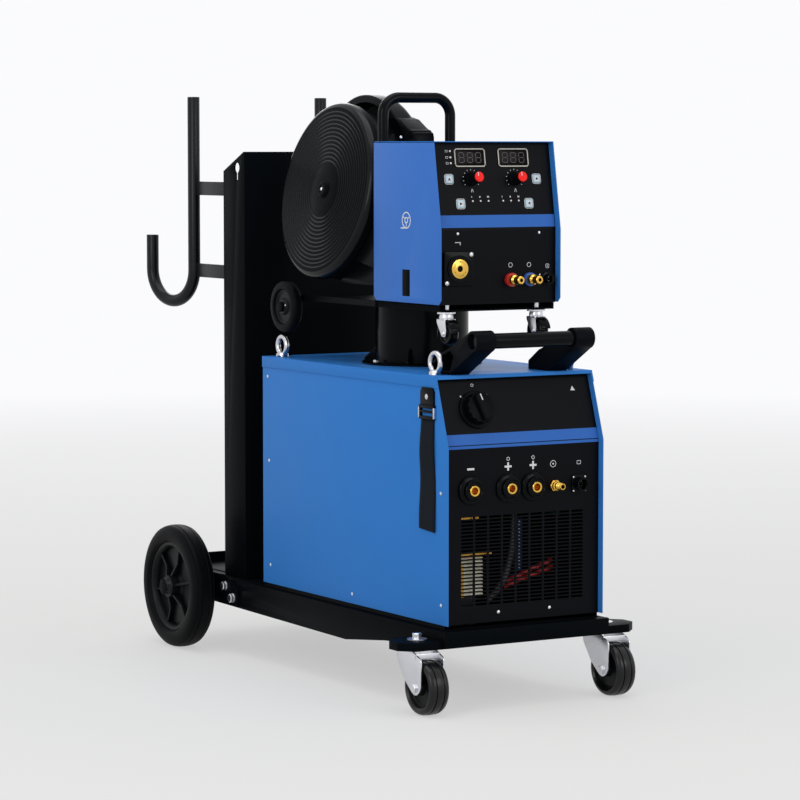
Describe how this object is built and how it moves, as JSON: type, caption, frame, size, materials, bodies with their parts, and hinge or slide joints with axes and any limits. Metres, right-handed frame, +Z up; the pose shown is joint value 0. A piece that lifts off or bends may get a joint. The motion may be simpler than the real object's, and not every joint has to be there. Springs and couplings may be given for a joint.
{
  "type": "mig welder on cart",
  "caption": "Wheeled welding power source with a swivelling wire feeder on top, a bottle column and cable hooks.",
  "frame": {"origin": "on the floor, under the middle of the machine's bounding box", "axes": "+X to the right seen from the front, +Y to the rear, +Z up"},
  "size_m": [0.5286, 1.2066, 1.122],
  "materials": {
    "blue_paint": "satin powder coat",
    "black_paint": "satin powder coat",
    "black_plastic": "fine-textured moulding",
    "gloss_black_plastic": "smooth moulding",
    "zinc": "bright zinc plate",
    "steel": "bare turned steel",
    "cast_steel": "zinc-plated forging",
    "brass": "turned brass",
    "tyre_rubber": "solid rubber",
    "grey_plastic": "moulded",
    "window": "smoked red window",
    "webbing": "woven polyester",
    "copper_winding": "varnished winding",
    "board": "lacquered board",
    "aluminium_casting": "die cast",
    "welding_wire": "copper-washed wire"
  },
  "bodies": {
    "cart": {"cart_tray": "black_paint", "front_crossmember": "black_paint", "column": "black_paint", "cable_hooks": "black_paint", "rear_axle": "black_paint", "cart_bolts": "zinc", "base_pan": "black_paint", "left_side_panel": "blue_paint", "right_side_panel": "blue_paint", "top_cover": "blue_paint", "front_panel": "black_paint", "rear_panel": "black_paint", "fan_frame": "black_plastic", "power_transformer": "copper_winding", "output_choke": "copper_winding", "control_board": "board", "eyebolts": "cast_steel", "swivel_post": "black_paint", "handle_brackets": "black_plastic", "handle_tube": "black_paint", "weld_sockets": "black_plastic", "gas_coupling": "brass", "control_socket": "black_plastic", "carry_strap": "webbing", "mains_gland": "black_plastic"},
    "feeder": {"feeder_base": "black_paint", "feeder_shell": "blue_paint", "feeder_front_panel": "black_paint", "display_windows": "window", "euro_socket": "brass", "coolant_couplings": "steel", "remote_socket": "steel", "feeder_handle": "black_paint", "spool_housing": "black_plastic", "drive_unit": "aluminium_casting"},
    "caster_fork_left": {"caster_fork_left": "zinc"},
    "caster_wheel_left": {"caster_wheel_left": "tyre_rubber"},
    "rear_wheel_left": {"rear_wheel_left": "tyre_rubber"},
    "feeder_wheel_left": {"feeder_wheel_left": "tyre_rubber"},
    "feeder_caster_fork_left": {"feeder_caster_fork_left": "zinc"},
    "feeder_caster_wheel_left": {"feeder_caster_wheel_left": "black_plastic"},
    "caster_fork_right": {"caster_fork_right": "zinc"},
    "caster_wheel_right": {"caster_wheel_right": "tyre_rubber"},
    "rear_wheel_right": {"rear_wheel_right": "tyre_rubber"},
    "feeder_wheel_right": {"feeder_wheel_right": "tyre_rubber"},
    "feeder_caster_fork_right": {"feeder_caster_fork_right": "zinc"},
    "feeder_caster_wheel_right": {"feeder_caster_wheel_right": "black_plastic"},
    "main_switch": {"main_switch_knob": "black_plastic"},
    "fan": {"fan_rotor": "black_plastic"},
    "feeder_door": {"feeder_door": "blue_paint"},
    "door_latch": {"door_latch": "black_plastic"},
    "left_knob": {"left_knob": "black_plastic"},
    "right_knob": {"right_knob": "black_plastic"},
    "button_upper_left": {"button_upper_left": "grey_plastic"},
    "button_upper_right": {"button_upper_right": "grey_plastic"},
    "button_lower_left": {"button_lower_left": "grey_plastic"},
    "button_lower_right": {"button_lower_right": "grey_plastic"},
    "spool_lid": {"spool_lid": "black_plastic"},
    "wire_spool": {"wire_spool": "welding_wire"},
    "drive_roll": {"drive_roll": "steel"}
  },
  "joints": [
    {"name": "caster_swivel_left", "type": "hinge", "parent": "cart", "child": "caster_fork_left", "pos_m": [-0.203, -0.52, 0.12], "axis": [0, 0, 1], "continuous": true},
    {"name": "caster_spin_left", "type": "hinge", "parent": "caster_fork_left", "child": "caster_wheel_left", "pos_m": [-0.203, -0.554, 0.05], "axis": [1, 0, 0], "continuous": true},
    {"name": "rear_wheel_spin_left", "type": "hinge", "parent": "cart", "child": "rear_wheel_left", "pos_m": [-0.228, 0.385, 0.125], "axis": [1, 0, 0], "continuous": true},
    {"name": "feeder_wheel_spin_left", "type": "hinge", "parent": "feeder", "child": "feeder_wheel_left", "pos_m": [-0.141, 0.082, 0.707], "axis": [1, 0, 0], "continuous": true},
    {"name": "feeder_caster_swivel_left", "type": "hinge", "parent": "feeder", "child": "feeder_caster_fork_left", "pos_m": [-0.098, -0.448, 0.715], "axis": [0, 0, 1], "continuous": true},
    {"name": "feeder_caster_spin_left", "type": "hinge", "parent": "feeder_caster_fork_left", "child": "feeder_caster_wheel_left", "pos_m": [-0.098, -0.458, 0.68], "axis": [1, 0, 0], "continuous": true},
    {"name": "caster_swivel_right", "type": "hinge", "parent": "cart", "child": "caster_fork_right", "pos_m": [0.203, -0.52, 0.12], "axis": [0, 0, 1], "continuous": true},
    {"name": "caster_spin_right", "type": "hinge", "parent": "caster_fork_right", "child": "caster_wheel_right", "pos_m": [0.203, -0.554, 0.05], "axis": [1, 0, 0], "continuous": true},
    {"name": "rear_wheel_spin_right", "type": "hinge", "parent": "cart", "child": "rear_wheel_right", "pos_m": [0.228, 0.385, 0.125], "axis": [1, 0, 0], "continuous": true},
    {"name": "feeder_wheel_spin_right", "type": "hinge", "parent": "feeder", "child": "feeder_wheel_right", "pos_m": [0.141, 0.082, 0.707], "axis": [1, 0, 0], "continuous": true},
    {"name": "feeder_caster_swivel_right", "type": "hinge", "parent": "feeder", "child": "feeder_caster_fork_right", "pos_m": [0.098, -0.448, 0.715], "axis": [0, 0, 1], "continuous": true},
    {"name": "feeder_caster_spin_right", "type": "hinge", "parent": "feeder_caster_fork_right", "child": "feeder_caster_wheel_right", "pos_m": [0.098, -0.458, 0.68], "axis": [1, 0, 0], "continuous": true},
    {"name": "main_switch_turn", "type": "hinge", "parent": "cart", "child": "main_switch", "pos_m": [-0.088, -0.53523, 0.545], "axis": [0, -0.9491, 0.3149], "range_deg": [-90, 0]},
    {"name": "fan_spin", "type": "hinge", "parent": "cart", "child": "fan", "pos_m": [0, 0.1, 0.4], "axis": [0, 1, 0], "continuous": true},
    {"name": "feeder_swivel", "type": "hinge", "parent": "cart", "child": "feeder", "pos_m": [0, -0.2, 0.725], "axis": [0, 0, 1], "range_deg": [-90, 90]},
    {"name": "door_hinge", "type": "hinge", "parent": "feeder", "child": "feeder_door", "pos_m": [-0.12925, -0.361, 1.0275], "axis": [0, 1, 0], "range_deg": [0, 90]},
    {"name": "latch_turn", "type": "hinge", "parent": "feeder_door", "child": "door_latch", "pos_m": [-0.127, -0.358, 0.7907], "axis": [0, 1, 0], "range_deg": [0, 45]},
    {"name": "left_knob_turn", "type": "hinge", "parent": "feeder", "child": "left_knob", "pos_m": [-0.047, -0.45207, 0.961], "axis": [0, -0.9874, 0.1585], "continuous": true},
    {"name": "right_knob_turn", "type": "hinge", "parent": "feeder", "child": "right_knob", "pos_m": [0.047, -0.45207, 0.961], "axis": [0, -0.9874, 0.1585], "continuous": true},
    {"name": "button_upper_left_press", "type": "slide", "parent": "feeder", "child": "button_upper_left", "axis": [0, 0.9874, -0.1585], "range_m": [0, 0.0006], "stiffness_N_per_m": 400, "springref_m": -0.0005},
    {"name": "button_upper_right_press", "type": "slide", "parent": "feeder", "child": "button_upper_right", "axis": [0, 0.9874, -0.1585], "range_m": [0, 0.0006], "stiffness_N_per_m": 400, "springref_m": -0.0005},
    {"name": "button_lower_left_press", "type": "slide", "parent": "feeder", "child": "button_lower_left", "axis": [0, 0.9874, -0.1585], "range_m": [0, 0.0006], "stiffness_N_per_m": 400, "springref_m": -0.0005},
    {"name": "button_lower_right_press", "type": "slide", "parent": "feeder", "child": "button_lower_right", "axis": [0, 0.9874, -0.1585], "range_m": [0, 0.0006], "stiffness_N_per_m": 400, "springref_m": -0.0005},
    {"name": "lid_pull", "type": "slide", "parent": "feeder", "child": "spool_lid", "axis": [-0.9829, 0, 0.184], "range_m": [0, 0.12]},
    {"name": "spool_spin", "type": "hinge", "parent": "feeder", "child": "wire_spool", "pos_m": [-0.07102, -0.05, 0.92696], "axis": [0.9829, 0, -0.184], "continuous": true},
    {"name": "drive_roll_spin", "type": "hinge", "parent": "feeder", "child": "drive_roll", "pos_m": [-0.085, -0.355, 0.7795], "axis": [1, 0, 0], "continuous": true}
  ],
  "couplings": [
    {"joint": "drive_roll_spin", "follows": "spool_spin", "ratio": -6.9189}
  ]
}
